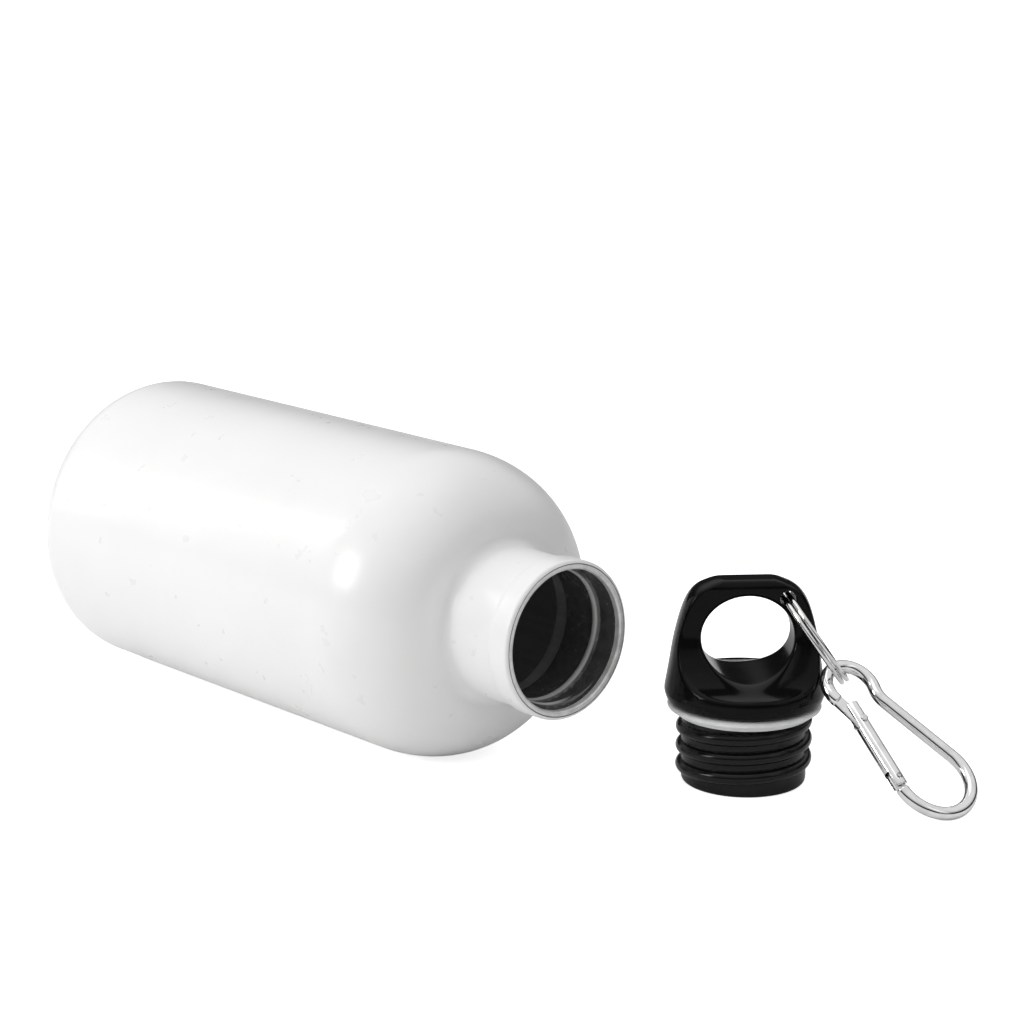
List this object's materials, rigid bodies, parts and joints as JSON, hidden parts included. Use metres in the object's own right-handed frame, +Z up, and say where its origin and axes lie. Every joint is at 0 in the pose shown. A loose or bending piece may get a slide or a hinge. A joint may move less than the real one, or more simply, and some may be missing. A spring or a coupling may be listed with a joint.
{
  "type": "water bottle with loop stopper and snap hook",
  "caption": "Single-wall metal sports bottle on its side, with a loop-handled screw stopper beside it and a snap hook hanging from the stopper on a split ring.",
  "frame": {"origin": "centre of the part's bounding box in X and Y, on the table it lies on", "axes": "+X along the bottle's axis from base to mouth, +Z up, +Y towards the stopper's side"},
  "size_m": [0.2294, 0.1014, 0.0728],
  "materials": {
    "bottle": "gloss",
    "sleeve": "satin",
    "stopper": "gloss",
    "seal": "satin",
    "ring": "polished",
    "hook": "polished",
    "pins": "satin",
    "plunger": "satin"
  },
  "bodies": {
    "bottle": {"bottle_shell": "bottle", "neck_sleeve": "sleeve"},
    "seal": {"seal_ring": "seal"},
    "stopper": {"loop_handle": "stopper", "threaded_plug": "stopper"},
    "ring": {"split_ring": "ring"},
    "hook": {"hook_frame": "hook", "hinge_rivet": "pins"},
    "gate": {"gate_tube": "hook", "latch_pin": "pins", "gate_spring": "pins", "spring_plunger": "plunger"}
  },
  "joints": [
    {"name": "stopper_lift", "type": "slide", "parent": "bottle", "child": "seal", "axis": [0, 0, 1], "range_m": [0, 0.08]},
    {"name": "stopper_turn", "type": "hinge", "parent": "seal", "child": "stopper", "pos_m": [0.06311, 0.0243, 0], "axis": [0, 0, 1], "range_deg": [-90, 150]},
    {"name": "ring_swing", "type": "hinge", "parent": "stopper", "child": "ring", "pos_m": [0.06856, 0.03136, 0.04352], "axis": [-0.7912, 0.6115, 0], "range_deg": [-100, 0]},
    {"name": "hook_swing", "type": "hinge", "parent": "ring", "child": "hook", "pos_m": [0.08414, 0.0368, 0.02392], "axis": [0.6125, -0.111, 0.7826], "range_deg": [-60, 80]},
    {"name": "gate_open", "type": "hinge", "parent": "hook", "child": "gate", "pos_m": [0.09072, 0.03288, 0.01821], "axis": [0.6125, -0.111, 0.7826], "range_deg": [0, 30], "stiffness_Nm_per_rad": 0.004, "springref_deg": -28.65}
  ]
}
